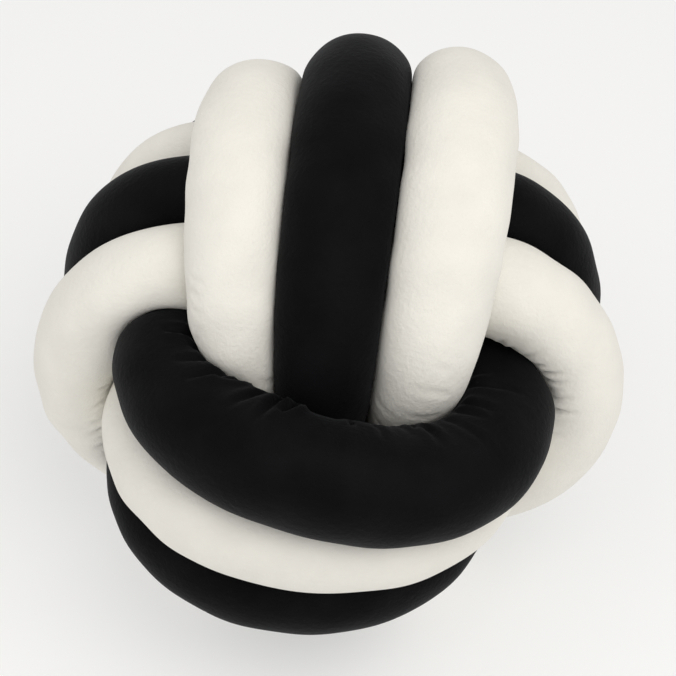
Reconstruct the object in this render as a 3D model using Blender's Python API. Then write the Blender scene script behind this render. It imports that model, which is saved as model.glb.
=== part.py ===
"""Knot cushion: nine closed rings of stuffed plush tube, worked into one ball.

The rings lie side by side in three bands of three. The top band runs over the
ball's top and bottom, the front band round its front and back, and the side band
round its left and right. Each band passes over one of the others and under the
third, so every ring is drawn in to a waist where another band crosses over it.

Metres, +Z up. The ball rests on the flattened undersides of its top band at z = 0,
with the middle of its bounding box above the origin.
"""

from collections import namedtuple

import bpy
import numpy as np

# The ball: its centre stands over the origin at this height, a little off the
# middle of its uneven outline.
BALL_CENTRE = np.array((0.0020, 0.0023, 0.1435))

# A ring's middle line, measured from the ball's centre.
WAIST = 0.066            # reach where it passes under another band
NARROWING = 0.21         # share by which a band's rings close up at the waist

# The stuffed section, as multiples of the ring's own radius.
WAIST_WIDTH = 0.85       # sideways, pressed by the neighbours
WAIST_OUTER = 1.12       # outwards, up to the band that crosses over
WAIST_INNER = 2.00       # inwards, filling the middle of the ball
CROWN_WIDTH = 1.08       # sideways at the crown, flattened a little by the band beneath
CROWN_INNER = 1.12       # inwards at the crown, down to the band beneath

GAP = 0.0004             # between two pressed strands
PRESSED_EDGE = 0.003     # how far from a pressed flat the strand starts to round off

# Facets: round the ring, and round the section.
RING_STEPS = 44
SECTION_STEPS = 16
LINE_POINTS = 264        # points that stand for a neighbour's middle line
HALVINGS = 14            # steps of the search for where two strands meet
DRAW_IN_PASSES = 5       # times the facets that stand past a contact surface are drawn in

# Each band's axes: towards its crown, towards its waist, and across its rings.
BANDS = {
    "top": ((0, 0, 1), (0, -1, 0), (1, 0, 0)),
    "front": ((0, -1, 0), (1, 0, 0), (0, 0, 1)),
    "side": ((1, 0, 0), (0, 0, 1), (0, -1, 0)),
}

Plush = namedtuple("Plush", "colour roughness")
CLOTHS = {
    "white_plush": Plush((0.84, 0.81, 0.75), 0.9),
    "black_plush": Plush((0.008, 0.009, 0.011), 0.85),
}

# The even knot, in millimetres. Each ring has these sizes but for the differences in its row.
STRAND_RADIUS = 26
SPACING = 49             # between the middle lines of two rings side by side
CROWN = 127              # reach of a middle line at the band's outer faces
SHOULDER = 109           # reach half way between crown and waist

# One row for each ring: its step from the band's middle, and how it differs from the
# even knot, in millimetres.
#   thicker   more radius
#   aside     shift across the band
#   farther   more reach at the crown
#   fuller    more reach at the shoulders
#   lift      shift of the whole ring towards its crown
#   slide     shift towards its waist
#   lean      sideways at the crown, the other way on the far side
#   skew      sideways at the waist, the other way on the far side
#   twist     sideways at the shoulders, by turns one way and the other
#   swell     more reach at the shoulders, by turns outwards and inwards
Ring = namedtuple(
    "Ring",
    "name band cloth step thicker aside farther fuller lift slide lean skew twist swell",
    defaults=(0,) * 10,
)
RINGS = [
    Ring(
        "top_left", "top", "white_plush", -1, thicker=-1, fuller=-6,
        lift=1, slide=-5, lean=2, skew=-2, twist=3, swell=1,
    ),
    Ring(
        "top_middle", "top", "black_plush", 0, thicker=2, aside=-1, fuller=3,
        lift=4, slide=-4, lean=3, skew=-2, swell=-6,
    ),
    Ring(
        "top_right", "top", "white_plush", 1, aside=1, farther=1,
        lift=5, slide=-7, lean=6, skew=-1, swell=-4,
    ),
    Ring(
        "front_upper", "front", "black_plush", 1, thicker=1, aside=-6, farther=-2, fuller=2,
        lift=7, slide=-1, lean=5, skew=-6, twist=-6, swell=7,
    ),
    Ring(
        "front_middle", "front", "white_plush", 0, thicker=1, aside=-4, farther=1, fuller=3,
        slide=-3, skew=-3, twist=-3, swell=-2,
    ),
    Ring(
        "front_lower", "front", "black_plush", -1, thicker=-2, fuller=-1,
        slide=-8, lean=-1, skew=-2, twist=-4, swell=-5,
    ),
    Ring(
        "side_front", "side", "white_plush", 1, thicker=-2, aside=-13, farther=2, fuller=-1,
        lift=-2, slide=3, lean=-4, twist=-2, swell=1,
    ),
    Ring(
        "side_middle", "side", "black_plush", 0, aside=-9, farther=-10, fuller=3,
        lift=-5, slide=4, lean=-4, twist=-2, swell=1,
    ),
    Ring(
        "side_back", "side", "white_plush", -1, thicker=-3, aside=-5, farther=-14, fuller=-5,
        lift=-4, slide=-2, lean=-2, skew=-3,
    ),
]
MILLIMETRE = 0.001


def middle_line(ring, steps):
    """Points of a ring's middle line, and its angle at each: 0 at the crown, a quarter turn at the waist.

    The reach swings between crown and waist twice a turn, and a term four times
    a turn sets the shoulders.
    """
    towards_crown, towards_waist, across = np.array(BANDS[ring.band], float)
    place, crown, shoulder = MILLIMETRE * np.array(
        [ring.step * SPACING + ring.aside, CROWN + ring.farther, SHOULDER + ring.fuller]
    )
    lift, slide, lean, skew, twist, swell = MILLIMETRE * np.array(ring[8:])
    angle = np.linspace(0, 2 * np.pi, steps, endpoint=False)
    mean_reach = (crown + WAIST + 2 * shoulder) / 4
    shoulder_term = (crown + WAIST - 2 * shoulder) / 4
    reach = mean_reach + (crown - WAIST) / 2 * np.cos(2 * angle) + shoulder_term * np.cos(4 * angle)
    reach += swell * np.sin(2 * angle)
    sideways = place * (1 - NARROWING * np.sin(angle) ** 2)
    sideways += lean * np.cos(angle) + skew * np.sin(angle) + twist * np.sin(2 * angle)
    line = np.outer(reach * np.cos(angle) + lift, towards_crown)
    line += np.outer(reach * np.sin(angle) + slide, towards_waist)
    line += np.outer(sideways, across)
    return BALL_CENTRE + line, angle


def radius_of(ring):
    """Radius of a ring's round strand."""
    return (STRAND_RADIUS + ring.thicker) * MILLIMETRE


def section_axes(line, across):
    """The outward and the sideways direction of the section at each point of a middle line."""
    along = np.roll(line, -1, axis=0) - np.roll(line, 1, axis=0)
    outward = np.cross(along, across)
    sideways = np.cross(outward, along)
    return tuple(v / np.linalg.norm(v, axis=1, keepdims=True) for v in (outward, sideways))


def section_reach(radius, angle, turn):
    """The free section's reach: half an oval outwards and half an oval inwards, of one width."""
    at_waist = np.sin(angle)[:, None] ** 4
    at_crown = np.cos(angle)[:, None] ** 4
    width = radius * (1 + (WAIST_WIDTH - 1) * at_waist + (CROWN_WIDTH - 1) * at_crown)
    outer = radius * (1 + (WAIST_OUTER - 1) * at_waist)
    inner = radius * (1 + (WAIST_INNER - 1) * at_waist + (CROWN_INNER - 1) * at_crown)
    depth = np.where(np.cos(turn) > 0, outer, inner)
    return 1 / np.hypot(np.cos(turn) / depth, np.sin(turn) / width)


def outside_of(points, strands):
    """How far points lie outside the nearest skin of some strands, or less than nothing inside it."""
    lines = np.vstack([line for line, _ in strands])
    radii = np.repeat([r for _, r in strands], [len(line) for line, _ in strands])
    apart = np.sum(points**2, axis=1)[:, None] + np.sum(lines**2, axis=1) - 2 * points @ lines.T
    return np.min(np.sqrt(np.maximum(apart, 0)) - radii, axis=1)


def reach_to_neighbours(start, direction, radius, neighbours, furthest):
    """How far along each direction a strand's point is as near to its own skin as to any neighbour's.

    neighbours is a list of (middle line, radius). The search halves its span:
    going out, the point leaves its own skin and cannot near another's faster.
    """
    low, high = np.zeros(len(start)), furthest.copy()
    for _ in range(HALVINGS):
        middle = (low + high) / 2
        own = middle - radius < outside_of(start + middle[:, None] * direction, neighbours)
        low, high = np.where(own, middle, low), np.where(own, high, middle)
    return low


def facet_excess(points, own, neighbours):
    """For each point of a strand's grid, how far the facets round it stand past the contact surface.

    Contact surfaces are saddles where strands cross, so a flat facet between
    points that only touch would cut into the neighbour.
    """
    excess = np.zeros(points.shape[:2])
    spans = [((0, 0), (1, 0)), ((0, 0), (0, 1)), ((0, 0), (1, 1)), ((1, 0), (0, 1))]
    for span in spans:
        ends = [np.roll(points, (-row, -column), axis=(0, 1)) for row, column in span]
        middle = ((ends[0] + ends[1]) / 2).reshape(-1, 3)
        past = outside_of(middle, own) - outside_of(middle, neighbours) + GAP
        past = np.maximum(past, 0).reshape(excess.shape)
        for row, column in span:
            excess = np.maximum(excess, np.roll(past, (row, column), axis=(0, 1)))
    return excess


def soft_minimum(first, second, edge):
    """The smaller of two lengths, rounded off where they differ by less than edge."""
    overlap = np.maximum(edge - np.abs(first - second), 0)
    return np.minimum(first, second) - overlap**2 / (4 * edge)


def strand_surface(ring, neighbours):
    """A ring's points on a grid, round the ring and round the section.

    Each section is an oval about the middle line, cut back flat where it presses
    on a neighbour and where it lies on the floor.
    """
    radius = radius_of(ring)
    line, angle = middle_line(ring, RING_STEPS)
    outward, sideways = section_axes(line, BANDS[ring.band][2])
    turn = np.linspace(0, 2 * np.pi, SECTION_STEPS, endpoint=False)
    direction = (
        np.cos(turn)[None, :, None] * outward[:, None] + np.sin(turn)[None, :, None] * sideways[:, None]
    )
    free = section_reach(radius, angle, turn)
    start = np.repeat(line, SECTION_STEPS, axis=0)
    furthest = 2 * free.ravel()
    pressed = reach_to_neighbours(start, direction.reshape(-1, 3), radius, neighbours, furthest)
    reach = soft_minimum(free, pressed.reshape(free.shape) - GAP / 2, PRESSED_EDGE)
    own = [(middle_line(ring, LINE_POINTS)[0], radius)]
    for _ in range(DRAW_IN_PASSES):
        points = line[:, None] + reach[..., None] * direction
        reach -= facet_excess(points, own, neighbours) / 2
    down = np.minimum(direction[..., 2], -1e-9)
    reach = np.minimum(reach, line[:, None, 2] / -down)
    return line[:, None] + reach[..., None] * direction


def grid_faces(rows, columns):
    """Four-sided faces of a grid that closes on itself both ways, facing out."""
    row, column = np.meshgrid(np.arange(rows), np.arange(columns), indexing="ij")
    next_row, next_column = (row + 1) % rows, (column + 1) % columns
    corners = [(row, column), (next_row, column), (next_row, next_column), (row, next_column)]
    return np.stack([r * columns + c for r, c in corners], axis=-1).reshape(-1, 4)


def clear_scene():
    for item in list(bpy.data.objects):
        bpy.data.objects.remove(item, do_unlink=True)


def plush_material(name):
    cloth = CLOTHS[name]
    material = bpy.data.materials.new(name)
    material.use_nodes = True
    shader = material.node_tree.nodes["Principled BSDF"]
    shader.inputs["Base Color"].default_value = (*cloth.colour, 1)
    shader.inputs["Roughness"].default_value = cloth.roughness
    shader.inputs["Metallic"].default_value = 0.0
    return material


def add_strand(ring, neighbours, material):
    """One ring of stuffed tube, as its own object."""
    points = strand_surface(ring, neighbours)
    faces = grid_faces(*points.shape[:2])
    mesh = bpy.data.meshes.new(ring.name)
    mesh.from_pydata(points.reshape(-1, 3).tolist(), [], faces.tolist())
    mesh.materials.append(material)
    mesh.shade_smooth()
    strand = bpy.data.objects.new(ring.name, mesh)
    bpy.context.scene.collection.objects.link(strand)
    return strand


clear_scene()
materials = {name: plush_material(name) for name in CLOTHS}
lines = {r.name: (middle_line(r, LINE_POINTS)[0], radius_of(r)) for r in RINGS}
for ring in RINGS:
    neighbours = [line for name, line in lines.items() if name != ring.name]
    add_strand(ring, neighbours, materials[ring.cloth])
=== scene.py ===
"""The looks of a knot cushion: nine stuffed rings of plush, worked into one ball.

The rings lie side by side in three bands of three. Each ring is a tube of short
pile in off-white or black, pressed flat against its neighbours, swelled by a short
cloth run, with gathers where it bends hard and tucks in under the next band.

Metres, +Z up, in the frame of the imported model. Angles are in degrees.
"""

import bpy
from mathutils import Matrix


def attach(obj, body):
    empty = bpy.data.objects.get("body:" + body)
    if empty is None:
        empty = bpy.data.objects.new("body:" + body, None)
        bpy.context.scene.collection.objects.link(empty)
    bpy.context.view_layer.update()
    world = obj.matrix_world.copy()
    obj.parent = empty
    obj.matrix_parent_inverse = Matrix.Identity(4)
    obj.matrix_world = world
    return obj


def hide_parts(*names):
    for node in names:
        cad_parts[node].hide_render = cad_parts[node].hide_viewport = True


bl_info = {
    "name": "Knot cushion",
    "version": (1, 0, 0),
    "blender": (4, 5, 0),
    "location": "3D View > Sidebar > Knot cushion",
    "description": "Builds the stuffed plush rings of a knot cushion, and a plain stage for it",
    "category": "Add Mesh",
}

from collections import namedtuple

import bpy
import numpy as np
from mathutils import Matrix

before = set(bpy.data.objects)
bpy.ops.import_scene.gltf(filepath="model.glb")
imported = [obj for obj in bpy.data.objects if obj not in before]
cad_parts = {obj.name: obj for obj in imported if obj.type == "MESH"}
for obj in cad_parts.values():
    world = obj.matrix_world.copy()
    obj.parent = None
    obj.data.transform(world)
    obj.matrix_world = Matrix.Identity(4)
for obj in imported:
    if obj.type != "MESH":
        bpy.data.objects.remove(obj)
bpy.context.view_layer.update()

MILLIMETRE = 0.001

# ---------------------------------------------------------------- the rings' table

# Each band's axes: towards its crown, towards its waist, and across its rings.
BANDS = {
    "top": ((0, 0, 1), (0, -1, 0), (1, 0, 0)),
    "front": ((0, -1, 0), (1, 0, 0), (0, 0, 1)),
    "side": ((1, 0, 0), (0, 0, 1), (0, -1, 0)),
}

# The even knot, in millimetres. Each ring has these sizes but for the differences in its row.
STRAND_RADIUS = 26
SPACING = 49             # between the middle lines of two rings side by side
CROWN = 127              # reach of a middle line at the band's outer faces
SHOULDER = 109           # reach half way between crown and waist

# One row for each ring: its step from the band's middle, and how it differs from the
# even knot, in millimetres.
#   thicker   more radius
#   aside     shift across the band
#   farther   more reach at the crown
#   fuller    more reach at the shoulders
#   lift      shift of the whole ring towards its crown
#   slide     shift towards its waist
#   lean      sideways at the crown, the other way on the far side
#   skew      sideways at the waist, the other way on the far side
#   twist     sideways at the shoulders, by turns one way and the other
#   swell     more reach at the shoulders, by turns outwards and inwards
Ring = namedtuple(
    "Ring",
    "name band slot step thicker aside farther fuller lift slide lean skew twist swell",
    defaults=(0,) * 10,
)
RINGS = (
    Ring(
        "top_left", "top", "white_plush", -1, thicker=-1, fuller=-6,
        lift=1, slide=-5, lean=2, skew=-2, twist=3, swell=1,
    ),
    Ring(
        "top_middle", "top", "black_plush", 0, thicker=2, aside=-1, fuller=3,
        lift=4, slide=-4, lean=3, skew=-2, swell=-6,
    ),
    Ring(
        "top_right", "top", "white_plush", 1, aside=1, farther=1,
        lift=5, slide=-7, lean=6, skew=-1, swell=-4,
    ),
    Ring(
        "front_upper", "front", "black_plush", 1, thicker=1, aside=-6, farther=-2, fuller=2,
        lift=7, slide=-1, lean=5, skew=-6, twist=-6, swell=7,
    ),
    Ring(
        "front_middle", "front", "white_plush", 0, thicker=1, aside=-4, farther=1, fuller=3,
        slide=-3, skew=-3, twist=-3, swell=-2,
    ),
    Ring(
        "front_lower", "front", "black_plush", -1, thicker=-2, fuller=-1,
        slide=-8, lean=-1, skew=-2, twist=-4, swell=-5,
    ),
    Ring(
        "side_front", "side", "white_plush", 1, thicker=-2, aside=-13, farther=2, fuller=-1,
        lift=-2, slide=3, lean=-4, twist=-2, swell=1,
    ),
    Ring(
        "side_middle", "side", "black_plush", 0, aside=-9, farther=-10, fuller=3,
        lift=-5, slide=4, lean=-4, twist=-2, swell=1,
    ),
    Ring(
        "side_back", "side", "white_plush", -1, thicker=-3, aside=-5, farther=-14, fuller=-5,
        lift=-4, slide=-2, lean=-2, skew=-3,
    ),
)

# Creases that show, each a soft trough with raised lips. Places on a ring are its angle
# (0 at the crown, 90 at the waist) and the turn round the section (0 outwards, 90 sideways),
# in degrees, and depth, width and bow are in millimetres.
#   start, end  the deep end and the end where it fades
#   bow         how far its middle bends away from the straight line
Crease = namedtuple("Crease", "ring start end depth width bow")
CREASES = (
    # soft folds across the low front end of top_right
    Crease("top_right", (45, 24), (44, 6), 0.5, 2.0, 0.5),
    Crease("top_right", (50, 28), (49, -12), 0.6, 2.2, 1.0),
    Crease("top_right", (56, 24), (55, -18), 0.6, 2.0, -1.0),
    Crease("top_right", (57, -44), (58, -18), 0.5, 2.2, 0.5),
    Crease("top_right", (64, -42), (65, -16), 0.5, 2.2, 0.5),
    # small ones on the low front end of top_left
    Crease("top_left", (52, 45), (50, 20), 0.6, 2.0, 0.5),
    Crease("top_left", (58, 40), (57, 8), 0.7, 2.2, 0.5),
    # two short ones on the left shoulder of side_middle
    Crease("side_middle", (146, 78), (141, 52), 0.7, 1.4, 0.5),
    Crease("side_middle", (139, 80), (136, 60), 0.6, 1.4, 0.5),
)

# Gathers: a row of short creases side by side across the strand, where it bends hard.
#   angle, turn  place of the row's middle, at the deep ends
#   step         between two creases, in degrees round the ring
#   sweep        how far each runs round the section, in degrees
#   slant        how far its faded end lies round the ring from its deep end, in degrees
Gather = namedtuple("Gather", "ring angle turn count step sweep depth width slant", defaults=(0,))
GATHERS = (
    # where front_upper is drawn in under the front ends of the top band
    Gather("front_upper", 334, 140, 8, 5.5, -60, 4.6, 2.2, slant=-3),
    Gather("front_upper", 16, 140, 4, 6, -40, 1.8, 2.0),
    Gather("front_upper", 42, 122, 6, 6, -56, 2.0, 2.2),
    # where side_front bends round the ends of front_upper
    Gather("side_front", 18, 120, 7, 3.2, -38, 1.7, 1.5),
    Gather("side_front", 4, 116, 3, 4.0, -28, 1.2, 1.6),
    Gather("side_front", 34, 130, 2, 5, -22, 1.4, 1.6),
    Gather("side_front", 180, 133, 3, 5, -22, 1.6, 1.6),
    Gather("side_front", 191, 118, 3, 4.5, -28, 1.8, 1.6),
    # small dimples where top_left goes down beside front_upper
    Gather("top_left", 39, 308, 6, 3.2, 24, 0.9, 1.5),
    # the same bends on the hidden sides
    Gather("front_upper", 148, 142, 6, 6, -38, 1.3, 1.5),
    Gather("front_upper", 210, 142, 7, 6, -38, 1.4, 1.5),
    Gather("front_lower", 30, 218, 5, 6, 36, 1.2, 1.5),
    Gather("front_lower", 150, 218, 6, 6, 38, 1.3, 1.5),
    Gather("front_lower", 212, 218, 6, 6, 38, 1.3, 1.5),
    Gather("front_lower", 330, 218, 6, 6, 36, 1.2, 1.5),
    Gather("side_back", 9, 222, 5, 4, 32, 1.1, 1.2),
    Gather("side_back", 187, 222, 5, 4, 32, 1.1, 1.2),
)

# Grid of a ring's surface while it is shaped. The finished grid is twice as fine both ways.
RING_ROWS = 224
RING_COLUMNS = 52
LINE_POINTS = 132        # points that stand for a neighbour's middle line
HALVINGS = 11            # steps of the search for where two strands meet
PRESSED_EASING = 2       # times that the pressed flats are eased
CREASE_POINTS = 25       # points along a crease's line
CREASE_SKIRT = 4.5       # how far from its line a crease is felt, in widths
CREASE_FADE = 0.7        # below 1, a crease keeps its depth for longer before it fades
LUMP_WAVES = 7           # waves that add up to the filling's unevenness

# The cloth run.
CLOTH_FRAMES = 10
CLOTH_QUALITY = 6        # steps of the solver in one frame
CLOTH_MASS = 0.05
CLOTH_STRETCH = 15       # stiffness against stretching and squeezing
CLOTH_SHEAR = 5
CLOTH_BENDING = 0.01
CLOTH_AIR = 3            # damping by the air
FULL_SLACK = 0.35        # share of spare length inside a bend from which the slack is full
SLACK_EASING = 6         # times that the cloth's length is eased before its slack is read
RISE_EASING = 2          # times that the rise and fall of the run is eased

# The plush materials.
NAP_SCALE = 38.0         # brushed patches in a metre
PILE_SCALE = 320.0       # dimples of the pile in a metre
PILE_STRENGTH = 0.5
SHEEN_ROUGHNESS = 0.45
WHITE_SHEEN_TINT = (1.0, 0.985, 0.95)
BLACK_SHEEN_TINT = (0.9, 0.93, 1.0)

# The stage: softboxes by azimuth and elevation in degrees, distance and size in metres,
# and power in watts.
Softbox = namedtuple("Softbox", "name azimuth elevation distance size power")
SOFTBOXES = (
    Softbox("key", 45, 60, 1.8, 1.2, 13.5),
    Softbox("fill", -55, 50, 2.2, 1.6, 7),
)
SOFTBOX_COLOUR = (1.0, 0.975, 0.94)
FLOOR_TONE = 0.6         # the floor's own tone, and the glow makes up for the rest
FLOOR_GLOW = 0.4         # an even glow that keeps shadows on the floor pale
FLOOR_CORNERS = 96


# ---------------------------------------------------------------- what a user may change


class KnotShape(bpy.types.PropertyGroup):
    """Sizes of the ball and of its strands."""

    ball_centre: bpy.props.FloatVectorProperty(
        name="Ball centre", description="Middle of the knot", subtype="TRANSLATION", size=3,
        default=(0.0020, 0.0023, 0.1435),
    )
    waist: bpy.props.FloatProperty(
        name="Waist", description="Reach of a ring where it passes under another band",
        default=0.066, unit="LENGTH",
    )
    narrowing: bpy.props.FloatProperty(
        name="Narrowing", description="Share by which a band's rings close up at the waist",
        default=0.21, subtype="FACTOR", min=0, max=1,
    )
    waist_width: bpy.props.FloatProperty(
        name="Waist width", description="Sideways half width at the waist, in strand radii",
        default=0.85, min=0.1,
    )
    waist_outer: bpy.props.FloatProperty(
        name="Waist outwards", description="Outward reach at the waist, in strand radii",
        default=1.12, min=0.1,
    )
    waist_inner: bpy.props.FloatProperty(
        name="Waist inwards", description="Inward reach at the waist, in strand radii",
        default=2.0, min=0.1,
    )
    crown_width: bpy.props.FloatProperty(
        name="Crown width", description="Sideways half width at the crown, in strand radii",
        default=1.08, min=0.1,
    )
    crown_inner: bpy.props.FloatProperty(
        name="Crown inwards", description="Inward reach at the crown, in strand radii",
        default=1.12, min=0.1,
    )
    gap: bpy.props.FloatProperty(
        name="Gap", description="Between two strands that press on each other",
        default=0.0006, unit="LENGTH",
    )
    pressed_edge: bpy.props.FloatProperty(
        name="Pressed edge", description="How far from a pressed flat a strand starts to round off",
        default=0.004, unit="LENGTH",
    )
    floor_edge: bpy.props.FloatProperty(
        name="Floor edge", description="The same, round the flat on which the ball rests",
        default=0.0015, unit="LENGTH",
    )
    lump_height: bpy.props.FloatProperty(
        name="Lump height", description="Unevenness of the filling under the cloth",
        default=0.0003, unit="LENGTH",
    )
    lump_length: bpy.props.FloatProperty(
        name="Lump length", description="From one soft lump of the filling to the next",
        default=0.030, unit="LENGTH",
    )
    filling_pressure: bpy.props.FloatProperty(
        name="Filling pressure", description="How hard the filling presses on the cloth",
        default=1.5, min=0,
    )
    slack: bpy.props.FloatProperty(
        name="Slack", description="Share of spare cloth inside the bends",
        default=0.05, subtype="FACTOR", min=0, max=1,
    )
    swell_cap: bpy.props.FloatProperty(
        name="Swell cap", description="Furthest that the filling moves the cloth",
        default=0.003, unit="LENGTH",
    )


class KnotPlush(bpy.types.PropertyGroup):
    """Colours and pile of the two plush cloths."""

    white: bpy.props.FloatVectorProperty(
        name="White", description="Off-white pile", subtype="COLOR", size=3,
        default=(0.845, 0.822, 0.760), min=0, max=1,
    )
    black: bpy.props.FloatVectorProperty(
        name="Black", description="Black pile", subtype="COLOR", size=3,
        default=(0.0026, 0.0026, 0.0031), min=0, max=1,
    )
    white_sheen: bpy.props.FloatProperty(
        name="White sheen", description="Light that the white pile's tips scatter",
        default=0.15, subtype="FACTOR", min=0, max=1,
    )
    black_sheen: bpy.props.FloatProperty(
        name="Black sheen", description="Light that the black pile's tips scatter",
        default=0.035, subtype="FACTOR", min=0, max=1,
    )
    white_roughness: bpy.props.FloatProperty(
        name="White roughness", description="How matt the white pile is",
        default=0.92, subtype="FACTOR", min=0, max=1,
    )
    black_roughness: bpy.props.FloatProperty(
        name="Black roughness", description="How matt the black pile is",
        default=0.65, subtype="FACTOR", min=0, max=1,
    )
    white_gloss: bpy.props.FloatProperty(
        name="White gloss", description="How much the white pile reflects",
        default=0.04, subtype="FACTOR", min=0, max=1,
    )
    black_gloss: bpy.props.FloatProperty(
        name="Black gloss", description="How much the black pile reflects",
        default=0.06, subtype="FACTOR", min=0, max=1,
    )
    white_nap: bpy.props.FloatProperty(
        name="White nap", description="How much brushed patches of the white pile differ in tone",
        default=0.035, subtype="FACTOR", min=0, max=1,
    )
    black_nap: bpy.props.FloatProperty(
        name="Black nap", description="How much brushed patches of the black pile differ in tone",
        default=0.45, subtype="FACTOR", min=0, max=1,
    )
    pile_height: bpy.props.FloatProperty(
        name="Pile height", description="Height of the pile's dimples and grain",
        default=0.0010, unit="LENGTH",
    )


class KnotStage(bpy.types.PropertyGroup):
    """Camera, lights and floor."""

    azimuth: bpy.props.FloatProperty(
        name="Azimuth", description="Camera round the ball, from its front", default=4.5
    )
    elevation: bpy.props.FloatProperty(
        name="Elevation", description="Camera above the horizon", default=48
    )
    roll: bpy.props.FloatProperty(
        name="Roll", description="Turn of the picture about the camera's axis", default=1.5
    )
    distance: bpy.props.FloatProperty(
        name="Distance", description="From the camera to the point that it looks at",
        default=0.93, unit="LENGTH",
    )
    aim: bpy.props.FloatVectorProperty(
        name="Aim", description="The point that the camera looks at, from the ball's centre",
        subtype="TRANSLATION", size=3, default=(0.0005, -0.002, 0.0015),
    )
    lens: bpy.props.FloatProperty(
        name="Lens", description="Focal length in millimetres", default=92.5
    )
    floor_colour: bpy.props.FloatVectorProperty(
        name="Floor colour", description="Pale floor", subtype="COLOR", size=3,
        default=(0.97, 0.97, 0.965), min=0, max=1,
    )
    floor_reach: bpy.props.FloatProperty(
        name="Floor reach", description="From the middle of the floor to its rim",
        default=6.0, unit="LENGTH",
    )
    sky: bpy.props.FloatProperty(
        name="Sky", description="Strength of the even light from all round", default=0.58
    )


class KnotCushion(bpy.types.PropertyGroup):
    """All settings of the cushion."""

    shape: bpy.props.PointerProperty(
        type=KnotShape, name="Shape", description="Sizes of the knot"
    )
    plush: bpy.props.PointerProperty(
        type=KnotPlush, name="Plush", description="Colours and pile"
    )
    stage: bpy.props.PointerProperty(
        type=KnotStage, name="Stage", description="Camera, lights and floor"
    )


# ---------------------------------------------------------------- shape of a strand


def middle_line(ring, shape, steps):
    """Points of a ring's middle line, and its angle at each: 0 at the crown, a quarter turn at the waist.

    The reach swings between crown and waist twice a turn, and a term four times
    a turn sets the shoulders.
    """
    towards_crown, towards_waist, across = np.array(BANDS[ring.band], float)
    place, crown, shoulder = MILLIMETRE * np.array(
        [ring.step * SPACING + ring.aside, CROWN + ring.farther, SHOULDER + ring.fuller]
    )
    lift, slide, lean, skew, twist, swell = MILLIMETRE * np.array(ring[8:])
    angle = np.linspace(0, 2 * np.pi, steps, endpoint=False)
    mean_reach = (crown + shape.waist + 2 * shoulder) / 4
    shoulder_term = (crown + shape.waist - 2 * shoulder) / 4
    reach = mean_reach + (crown - shape.waist) / 2 * np.cos(2 * angle)
    reach += shoulder_term * np.cos(4 * angle) + swell * np.sin(2 * angle)
    sideways = place * (1 - shape.narrowing * np.sin(angle) ** 2)
    sideways += lean * np.cos(angle) + skew * np.sin(angle) + twist * np.sin(2 * angle)
    line = np.outer(reach * np.cos(angle) + lift, towards_crown)
    line += np.outer(reach * np.sin(angle) + slide, towards_waist)
    line += np.outer(sideways, across)
    return np.array(shape.ball_centre) + line, angle


def radius_of(ring):
    """Radius of a ring's round strand."""
    return (STRAND_RADIUS + ring.thicker) * MILLIMETRE


def section_axes(line, across):
    """The outward and the sideways direction of the section at each point of a middle line."""
    along = np.roll(line, -1, axis=0) - np.roll(line, 1, axis=0)
    outward = np.cross(along, across)
    sideways = np.cross(outward, along)
    return tuple(v / np.linalg.norm(v, axis=1, keepdims=True) for v in (outward, sideways))


def section_reach(radius, shape, angle, turn):
    """The free section's reach: half an oval outwards and half an oval inwards, of one width."""
    at_waist = np.sin(angle)[:, None] ** 4
    at_crown = np.cos(angle)[:, None] ** 4
    width = radius * (1 + (shape.waist_width - 1) * at_waist + (shape.crown_width - 1) * at_crown)
    outer = radius * (1 + (shape.waist_outer - 1) * at_waist)
    inner = radius * (1 + (shape.waist_inner - 1) * at_waist + (shape.crown_inner - 1) * at_crown)
    depth = np.where(np.cos(turn) > 0, outer, inner)
    return 1 / np.hypot(np.cos(turn) / depth, np.sin(turn) / width)


def reach_to_neighbours(line, direction, radius, neighbours, furthest):
    """How far along each direction a strand's point is as near to its own skin as to any neighbour's.

    neighbours is a list of (middle line, radius). The search halves its span:
    going out, the point leaves its own skin and cannot near another's faster.
    Each row of directions looks only at the neighbours' points within its reach.
    """
    others = np.vstack([other for other, _ in neighbours])
    skins = np.repeat([r for _, r in neighbours], [len(other) for other, _ in neighbours])
    reach = np.empty(furthest.shape)
    for row, (start, ways, high) in enumerate(zip(line, direction, furthest)):
        near = np.linalg.norm(others - start, axis=1) - skins < high.max()
        offset, skin = (others[near] - start).T, skins[near]
        apart, toward = np.sum(offset**2, axis=0), ways @ offset
        low = np.zeros(len(ways))
        for _ in range(HALVINGS):
            middle = (low + high) / 2
            there = apart + middle[:, None] * (middle[:, None] - 2 * toward)
            outside = np.min(np.sqrt(there) - skin, axis=1, initial=np.inf)
            own = middle - radius < outside
            low, high = np.where(own, middle, low), np.where(own, high, middle)
        reach[row] = low
    return reach


def soft_minimum(first, second, edge):
    """The smaller of two lengths, rounded off where they differ by less than edge."""
    overlap = np.maximum(edge - np.abs(first - second), 0)
    return np.minimum(first, second) - overlap**2 / (4 * edge)


def eased(grid, times):
    """A closed grid of numbers, each eased towards its neighbours both ways."""
    for _ in range(times):
        for axis in (0, 1):
            grid = (np.roll(grid, 1, axis) + 2 * grid + np.roll(grid, -1, axis)) / 4
    return grid


def refined(grid):
    """A closed grid with twice the rows and columns, on the cubic spline of the first one.

    The old points become (before + 6 old + after) / 8, and the new ones lie
    half way between two old ones.
    """
    for axis in (0, 1):
        before, after = np.roll(grid, 1, axis), np.roll(grid, -1, axis)
        pair = np.stack([(before + 6 * grid + after) / 8, (grid + after) / 2], axis + 1)
        size = list(grid.shape)
        size[axis] *= 2
        grid = pair.reshape(size)
    return grid


def slack_of(points):
    """Where the cloth has length to spare: a tube is as long inside its bend as outside it."""
    along = np.linalg.norm(points - np.roll(points, 1, axis=0), axis=2)
    longest = along.sum(axis=0).max() / len(along)
    return np.clip((longest / eased(along, SLACK_EASING) - 1) / FULL_SLACK, 0, 1)


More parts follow.
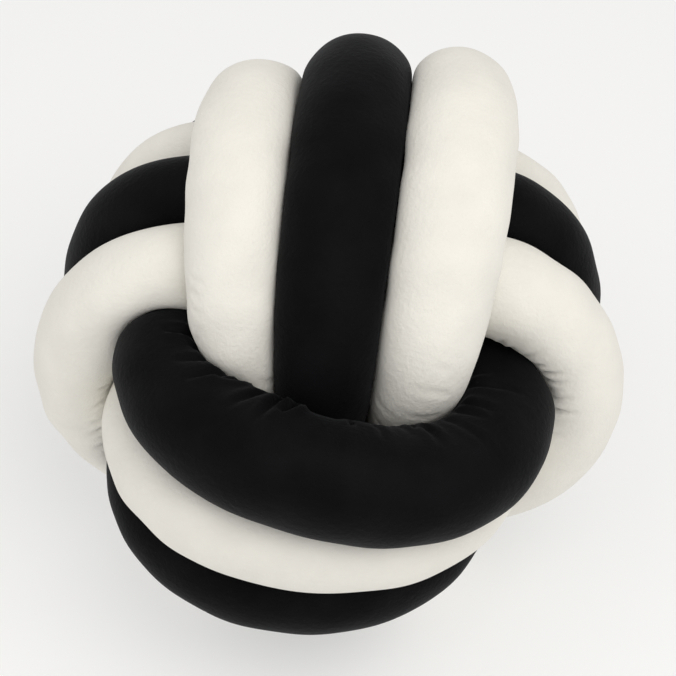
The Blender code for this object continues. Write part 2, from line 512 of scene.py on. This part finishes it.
def cloth_of(points, shape):
    """A mesh object of a strand's grid, set up as slack cloth under pressure, without gravity."""
    mesh = bpy.data.meshes.new("cloth")
    mesh.from_pydata(points.reshape(-1, 3).tolist(), [], grid_faces(*points.shape[:2]).tolist())
    piece = bpy.data.objects.new("cloth", mesh)
    bpy.context.scene.collection.objects.link(piece)
    group = piece.vertex_groups.new(name="slack")
    for index, share in enumerate(slack_of(points).ravel()):
        group.add([index], float(share), "REPLACE")
    stuffing = piece.modifiers.new("stuffing", "CLOTH")
    stuffing.point_cache.frame_end = CLOTH_FRAMES
    stuffing.collision_settings.use_collision = False
    cloth = stuffing.settings
    cloth.quality = CLOTH_QUALITY
    cloth.mass = CLOTH_MASS
    cloth.tension_stiffness = cloth.compression_stiffness = CLOTH_STRETCH
    cloth.shear_stiffness = CLOTH_SHEAR
    cloth.bending_stiffness = CLOTH_BENDING
    cloth.air_damping = CLOTH_AIR
    cloth.use_pressure = True
    cloth.uniform_pressure_force = shape.filling_pressure
    cloth.effector_weights.gravity = 0
    cloth.vertex_group_shrink = "slack"
    cloth.shrink_min, cloth.shrink_max = 0, -shape.slack
    return piece


def stuffed(points, shape, room):
    """The surface once its filling has pressed on the cloth, in a short cloth run.

    Only the rise and fall of each point is kept. It is capped, and goes no
    further outwards than the room there. The cloth object is taken away again.
    """
    piece = cloth_of(points, shape)
    scene = bpy.context.scene
    for frame_number in range(1, CLOTH_FRAMES + 1):
        scene.frame_set(frame_number)
    finished = piece.evaluated_get(bpy.context.evaluated_depsgraph_get()).data
    places = np.empty(points.size)
    finished.vertices.foreach_get("co", places)
    bpy.data.meshes.remove(piece.data)
    scene.frame_set(1)
    normals = normals_of(points)
    rise = np.sum((places.reshape(points.shape) - points) * normals, axis=2)
    rise = eased(rise, RISE_EASING)
    rise = np.minimum(np.clip(rise, -shape.swell_cap, shape.swell_cap), room)
    return points + rise[..., None] * normals


def strand_surface(ring, shape, neighbours):
    """A ring's points on a fine grid, round the ring and round the section, and the room outside each.

    Each section is an oval about the middle line, cut back where it presses on
    a neighbour and where it lies on the floor, and rounded off at the cut.
    """
    radius = radius_of(ring)
    line, angle = middle_line(ring, shape, RING_ROWS)
    outward, sideways = section_axes(line, BANDS[ring.band][2])
    turn = np.linspace(0, 2 * np.pi, RING_COLUMNS, endpoint=False)
    direction = (
        np.cos(turn)[None, :, None] * outward[:, None] + np.sin(turn)[None, :, None] * sideways[:, None]
    )
    free = section_reach(radius, shape, angle, turn)
    pressed = reach_to_neighbours(line, direction, radius, neighbours, free + shape.pressed_edge)
    pressed = eased(pressed, PRESSED_EASING) - shape.gap / 2
    reach = soft_minimum(free, pressed, shape.pressed_edge)
    down = np.minimum(direction[..., 2], -1e-9)
    reach = soft_minimum(reach, line[:, None, 2] / -down, shape.floor_edge)
    room = np.maximum(pressed - reach, 0)
    points = line[:, None] + reach[..., None] * direction
    return refined(stuffed(points, shape, room)), refined(room)


def normals_of(points):
    """Outward unit normals of a closed grid of points."""
    along = np.roll(points, -1, axis=0) - np.roll(points, 1, axis=0)
    around = np.roll(points, -1, axis=1) - np.roll(points, 1, axis=1)
    normal = np.cross(along, around)
    return normal / np.linalg.norm(normal, axis=2, keepdims=True)


def on_grid(points, places):
    """Points of the surface at places given as (angle, turn) in degrees, between the grid's own."""
    rows, columns = points.shape[:2]
    at = np.array(places, float) / 360 * (rows, columns)
    low = np.floor(at).astype(int)
    (u, v), (row, column) = (at - low).T[..., None], low.T
    near = points[row % rows, column % columns] * (1 - v) + points[row % rows, (column + 1) % columns] * v
    far = points[(row + 1) % rows, column % columns] * (1 - v)
    far += points[(row + 1) % rows, (column + 1) % columns] * v
    return near * (1 - u) + far * u


def crease_relief(points, normals, crease):
    """Height of one crease over the whole grid: a trough with a raised lip on both sides.

    Across it the height is -(1 - x squared) times a bell curve of x, the
    distance from its line in widths. Along it the depth fades towards its end.
    """
    width, bow = crease.width * MILLIMETRE, crease.bow * MILLIMETRE
    share = np.linspace(0, 1, CREASE_POINTS)
    places = np.outer(1 - share, crease.start) + np.outer(share, crease.end)
    line = on_grid(points, places)
    aside = np.cross(line[-1] - line[0], on_grid(normals, places[CREASE_POINTS // 2:][:1])[0])
    line += np.outer(4 * share * (1 - share) * bow, aside / np.linalg.norm(aside))
    relief = np.zeros(points.shape[:2])
    middle, reach = line.mean(axis=0), np.linalg.norm(line[-1] - line[0]) / 2 + CREASE_SKIRT * width
    near = np.linalg.norm(points - middle, axis=2) < reach
    apart = np.linalg.norm(points[near][:, None] - line, axis=2)
    nearest = apart.argmin(axis=1)
    x = apart[np.arange(len(apart)), nearest] / width
    fade = np.cos(np.pi / 2 * share[nearest]) ** CREASE_FADE
    relief[near] = -crease.depth * MILLIMETRE * fade * (1 - x**2) * np.exp(-(x**2) / 2)
    return relief


def gather_creases(gather):
    """The creases of one gather, uneven in length, depth and spacing."""
    number = np.arange(gather.count)
    uneven = np.sin(2.4 * number + gather.angle)
    angle = gather.angle + gather.step * (number - (gather.count - 1) / 2 + 0.22 * uneven)
    depth = gather.depth * (0.8 + 0.3 * np.sin(1.7 * number + gather.turn))
    sweep = gather.sweep * (0.75 + 0.3 * np.cos(2.1 * number + gather.angle))
    slant = gather.slant + 0.25 * gather.step * np.sin(1.3 * number)
    return [
        Crease(gather.ring, (a, gather.turn), (a + t, gather.turn + w), d, gather.width, 0.6 * u)
        for a, t, w, d, u in zip(angle, slant, sweep, depth, uneven)
    ]


def filling_lumps(points, shape):
    """Soft unevenness of the filling: a few waves through space, each its own way and length."""
    lumps = np.zeros(points.shape[:2])
    for wave in range(LUMP_WAVES):
        way = np.array([np.sin(1.9 * wave), np.cos(2.7 * wave), np.sin(4.1 * wave + 1)])
        length = shape.lump_length * (1 + 0.4 * np.sin(3.3 * wave))
        lumps += np.sin(2 * np.pi / length * (points @ (way / np.linalg.norm(way))) + 5 * wave)
    return lumps * shape.lump_height / np.sqrt(LUMP_WAVES)


def creased(ring, shape, points, room):
    """The surface with its lumps and creases.

    They rise no further than the room outside the surface, and nothing goes
    below the floor.
    """
    normals = normals_of(points)
    creases = [c for g in GATHERS if g.ring == ring.name for c in gather_creases(g)]
    creases += [c for c in CREASES if c.ring == ring.name]
    relief = sum((crease_relief(points, normals, c) for c in creases), filling_lumps(points, shape))
    finished = points + normals * np.minimum(relief, room)[..., None]
    finished[..., 2] = np.maximum(finished[..., 2], 0)
    return finished


# ---------------------------------------------------------------- meshes


def grid_faces(rows, columns):
    """Four-sided faces of a grid that closes on itself both ways, facing out."""
    row, column = np.meshgrid(np.arange(rows), np.arange(columns), indexing="ij")
    next_row, next_column = (row + 1) % rows, (column + 1) % columns
    corners = [(row, column), (next_row, column), (next_row, next_column), (row, next_column)]
    return np.stack([r * columns + c for r, c in corners], axis=-1).reshape(-1, 4)


def grid_map(rows, columns, length, girth):
    """The flat place of each face corner on the cut cloth, in metres along the tube and round it."""
    row, column = np.meshgrid(np.arange(rows), np.arange(columns), indexing="ij")
    corners = [(row, column), (row + 1, column), (row + 1, column + 1), (row, column + 1)]
    return np.stack(
        [np.stack([r / rows * length, c / columns * girth], axis=-1) for r, c in corners], axis=2
    ).reshape(-1, 2)


def add_ring(name, points, material):
    """One stuffed ring as a mesh object, smooth, with a UV map in metres of cloth."""
    rows, columns = points.shape[:2]
    faces = grid_faces(rows, columns)
    mesh = bpy.data.meshes.new(name)
    mesh.from_pydata(points.reshape(-1, 3).tolist(), [], faces.tolist())
    length = np.linalg.norm(points - np.roll(points, 1, axis=0), axis=2).sum(axis=0).mean()
    girth = np.linalg.norm(points - np.roll(points, 1, axis=1), axis=2).sum(axis=1).mean()
    flat = mesh.uv_layers.new(name="cloth")
    flat.data.foreach_set("uv", grid_map(rows, columns, length, girth).ravel())
    mesh.materials.append(material)
    mesh.shade_smooth()
    piece = bpy.data.objects.new(name, mesh)
    bpy.context.scene.collection.objects.link(piece)
    return piece


# ---------------------------------------------------------------- plush


def node_of(tree, kind, place, **values):
    """A new shader node at a place in the tree, with some of its inputs or settings set."""
    node = tree.nodes.new(kind)
    node.location = place
    for name, value in values.items():
        label = name.replace("_", " ").title()
        if label in node.inputs:
            node.inputs[label].default_value = value
        else:
            setattr(node, name, value)
    return node


def plush_material(name, colour, nap_tone, roughness, gloss, sheen, sheen_tint, pile_height):
    """Short pile: brushed patches that differ in tone, and dimples with a fine grain."""
    material = bpy.data.materials.new(name)
    material.use_nodes = True
    tree = material.node_tree
    link = tree.links.new
    shader = tree.nodes["Principled BSDF"]
    shader.inputs["Roughness"].default_value = roughness
    shader.inputs["Specular IOR Level"].default_value = gloss
    shader.inputs["Sheen Weight"].default_value = sheen
    shader.inputs["Sheen Roughness"].default_value = SHEEN_ROUGHNESS
    shader.inputs["Sheen Tint"].default_value = (*sheen_tint, 1)
    place = node_of(tree, "ShaderNodeTexCoord", (-1400, 0))
    nap = node_of(
        tree, "ShaderNodeTexNoise", (-1100, 200), scale=NAP_SCALE, detail=3.0, roughness=0.5
    )
    tone = node_of(tree, "ShaderNodeValToRGB", (-800, 200))
    dark = tuple(c * (1 - nap_tone) for c in colour)
    light = tuple(min(c * (1 + nap_tone), 1) for c in colour)
    tone.color_ramp.elements[0].position = 0.3
    tone.color_ramp.elements[0].color = (*dark, 1)
    tone.color_ramp.elements[1].position = 0.7
    tone.color_ramp.elements[1].color = (*light, 1)
    pile = node_of(
        tree, "ShaderNodeTexNoise", (-1100, -200), scale=PILE_SCALE, detail=4.0, roughness=0.65
    )
    bump = node_of(
        tree, "ShaderNodeBump", (-500, -200), strength=PILE_STRENGTH, distance=pile_height
    )
    link(place.outputs["Object"], nap.inputs["Vector"])
    link(place.outputs["Object"], pile.inputs["Vector"])
    link(nap.outputs["Fac"], tone.inputs["Fac"])
    link(tone.outputs["Color"], shader.inputs["Base Color"])
    link(pile.outputs["Fac"], bump.inputs["Height"])
    link(bump.outputs["Normal"], shader.inputs["Normal"])
    return material


def plush_of(slot, settings):
    """The material of one of the record's two slots, made once."""
    if slot in bpy.data.materials and bpy.data.materials[slot].get("plush"):
        return bpy.data.materials[slot]
    plush = settings.plush
    white = slot == "white_plush"
    material = plush_material(
        slot,
        tuple(plush.white if white else plush.black),
        plush.white_nap if white else plush.black_nap,
        plush.white_roughness if white else plush.black_roughness,
        plush.white_gloss if white else plush.black_gloss,
        plush.white_sheen if white else plush.black_sheen,
        WHITE_SHEEN_TINT if white else BLACK_SHEEN_TINT,
        plush.pile_height,
    )
    material["plush"] = True
    return material


def build_band(band, settings):
    """The rings of one band, each a padded piece that stands for its solid."""
    shape = settings.shape
    lines = {r.name: (middle_line(r, shape, LINE_POINTS)[0], radius_of(r)) for r in RINGS}
    for ring in (r for r in RINGS if r.band == band):
        neighbours = [line for name, line in lines.items() if name != ring.name]
        points = creased(ring, shape, *strand_surface(ring, shape, neighbours))
        piece = add_ring(f"{ring.name}_plush", points, plush_of(ring.slot, settings))
        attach(piece, "root")
        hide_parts(ring.name)


# ---------------------------------------------------------------- stage


def round_floor(reach, colour):
    """A round floor of one flat face."""
    turn = np.linspace(0, 2 * np.pi, FLOOR_CORNERS, endpoint=False)
    rim = np.stack([reach * np.cos(turn), reach * np.sin(turn), np.zeros_like(turn)], axis=1)
    mesh = bpy.data.meshes.new("floor")
    mesh.from_pydata(rim.tolist(), [], [list(range(len(rim)))])
    material = bpy.data.materials.new("floor")
    material.use_nodes = True
    shader = material.node_tree.nodes["Principled BSDF"]
    shader.inputs["Base Color"].default_value = (*(FLOOR_TONE * np.array(colour)), 1)
    shader.inputs["Emission Color"].default_value = (*colour, 1)
    shader.inputs["Emission Strength"].default_value = FLOOR_GLOW
    shader.inputs["Roughness"].default_value = 0.9
    shader.inputs["Specular IOR Level"].default_value = 0.1
    mesh.materials.append(material)
    floor = bpy.data.objects.new("floor", mesh)
    bpy.context.scene.collection.objects.link(floor)
    return floor


def towards(azimuth, elevation):
    """Unit vector from the ball to a place round it: azimuth 0 is its front, 90 its right side."""
    a, e = np.radians(azimuth), np.radians(elevation)
    return np.array([np.sin(a) * np.cos(e), -np.cos(a) * np.cos(e), np.sin(e)])


def facing(place, back, roll=0.0):
    """The matrix of a camera or lamp at a place that looks away from back, rolled by some degrees."""
    right = np.cross((0, 0, 1), back)
    right /= np.linalg.norm(right)
    up = np.cross(back, right)
    c, s = np.cos(np.radians(roll)), np.sin(np.radians(roll))
    axes = np.stack([c * right + s * up, c * up - s * right, back], axis=1)
    matrix = np.eye(4)
    matrix[:3, :3], matrix[:3, 3] = axes, place
    return Matrix(matrix.tolist())


def add_camera(stage, centre):
    """The camera, from its angles round the point that it looks at."""
    camera = bpy.data.cameras.new("camera")
    camera.lens = stage.lens
    eye = bpy.data.objects.new("camera", camera)
    bpy.context.scene.collection.objects.link(eye)
    back = towards(stage.azimuth, stage.elevation)
    eye.matrix_world = facing(centre + np.array(stage.aim) + stage.distance * back, back, stage.roll)
    bpy.context.scene.camera = eye


def add_softbox(box, centre):
    """A square softbox that faces the ball."""
    lamp = bpy.data.lights.new(box.name, "AREA")
    lamp.energy = box.power
    lamp.size = box.size
    lamp.color = SOFTBOX_COLOUR
    holder = bpy.data.objects.new(box.name, lamp)
    bpy.context.scene.collection.objects.link(holder)
    back = towards(box.azimuth, box.elevation)
    holder.matrix_world = facing(centre + box.distance * back, back)


def even_sky(strength):
    """A white world that lights the ball from all round."""
    world = bpy.data.worlds.new("even sky")
    world.use_nodes = True
    world.node_tree.nodes["Background"].inputs["Color"].default_value = (1, 1, 1, 1)
    world.node_tree.nodes["Background"].inputs["Strength"].default_value = strength
    bpy.context.scene.world = world


# ---------------------------------------------------------------- operators and panel


class TopBand(bpy.types.Operator):
    """Build the three rings that run over the top: white, black, white"""

    bl_idname = "knot_cushion.top_band"
    bl_label = "Top band"

    def execute(self, context):
        build_band("top", context.scene.knot_cushion)
        return {"FINISHED"}


class FrontBand(bpy.types.Operator):
    """Build the three rings that run round the front: black, white, black"""

    bl_idname = "knot_cushion.front_band"
    bl_label = "Front band"

    def execute(self, context):
        build_band("front", context.scene.knot_cushion)
        return {"FINISHED"}


class SideBand(bpy.types.Operator):
    """Build the three rings that run round the sides: white, black, white"""

    bl_idname = "knot_cushion.side_band"
    bl_label = "Side band"

    def execute(self, context):
        build_band("side", context.scene.knot_cushion)
        return {"FINISHED"}


class PlainStage(bpy.types.Operator):
    """Set up the floor, the lights and the camera"""

    bl_idname = "knot_cushion.plain_stage"
    bl_label = "Plain stage"

    def execute(self, context):
        settings = context.scene.knot_cushion
        stage = settings.stage
        centre = np.array(settings.shape.ball_centre)
        round_floor(stage.floor_reach, stage.floor_colour)
        even_sky(stage.sky)
        for box in SOFTBOXES:
            add_softbox(box, centre)
        add_camera(stage, centre)
        context.scene.view_settings.view_transform = "Standard"
        return {"FINISHED"}


class KnotPanel(bpy.types.Panel):
    """Settings and steps of the knot cushion"""

    bl_idname = "VIEW3D_PT_knot_cushion"
    bl_label = "Knot cushion"
    bl_space_type = "VIEW_3D"
    bl_region_type = "UI"
    bl_category = "Knot cushion"

    def draw(self, context):
        settings = context.scene.knot_cushion
        for group in (settings.shape, settings.plush, settings.stage):
            box = self.layout.box()
            for name in group.__annotations__:
                box.prop(group, name)
        for step in STEPS:
            self.layout.operator(step.bl_idname)


STEPS = (TopBand, FrontBand, SideBand, PlainStage)
CLASSES = (KnotShape, KnotPlush, KnotStage, KnotCushion, *STEPS, KnotPanel)


def register():
    for item in CLASSES:
        bpy.utils.register_class(item)
    bpy.types.Scene.knot_cushion = bpy.props.PointerProperty(
        type=KnotCushion, name="Knot cushion", description="Settings of the knot cushion"
    )


def unregister():
    del bpy.types.Scene.knot_cushion
    for item in reversed(CLASSES):
        bpy.utils.unregister_class(item)


def main():
    register()
    bpy.ops.knot_cushion.top_band()
    bpy.ops.knot_cushion.front_band()
    bpy.ops.knot_cushion.side_band()
    bpy.ops.knot_cushion.plain_stage()


if __name__ == "__main__":
    main()
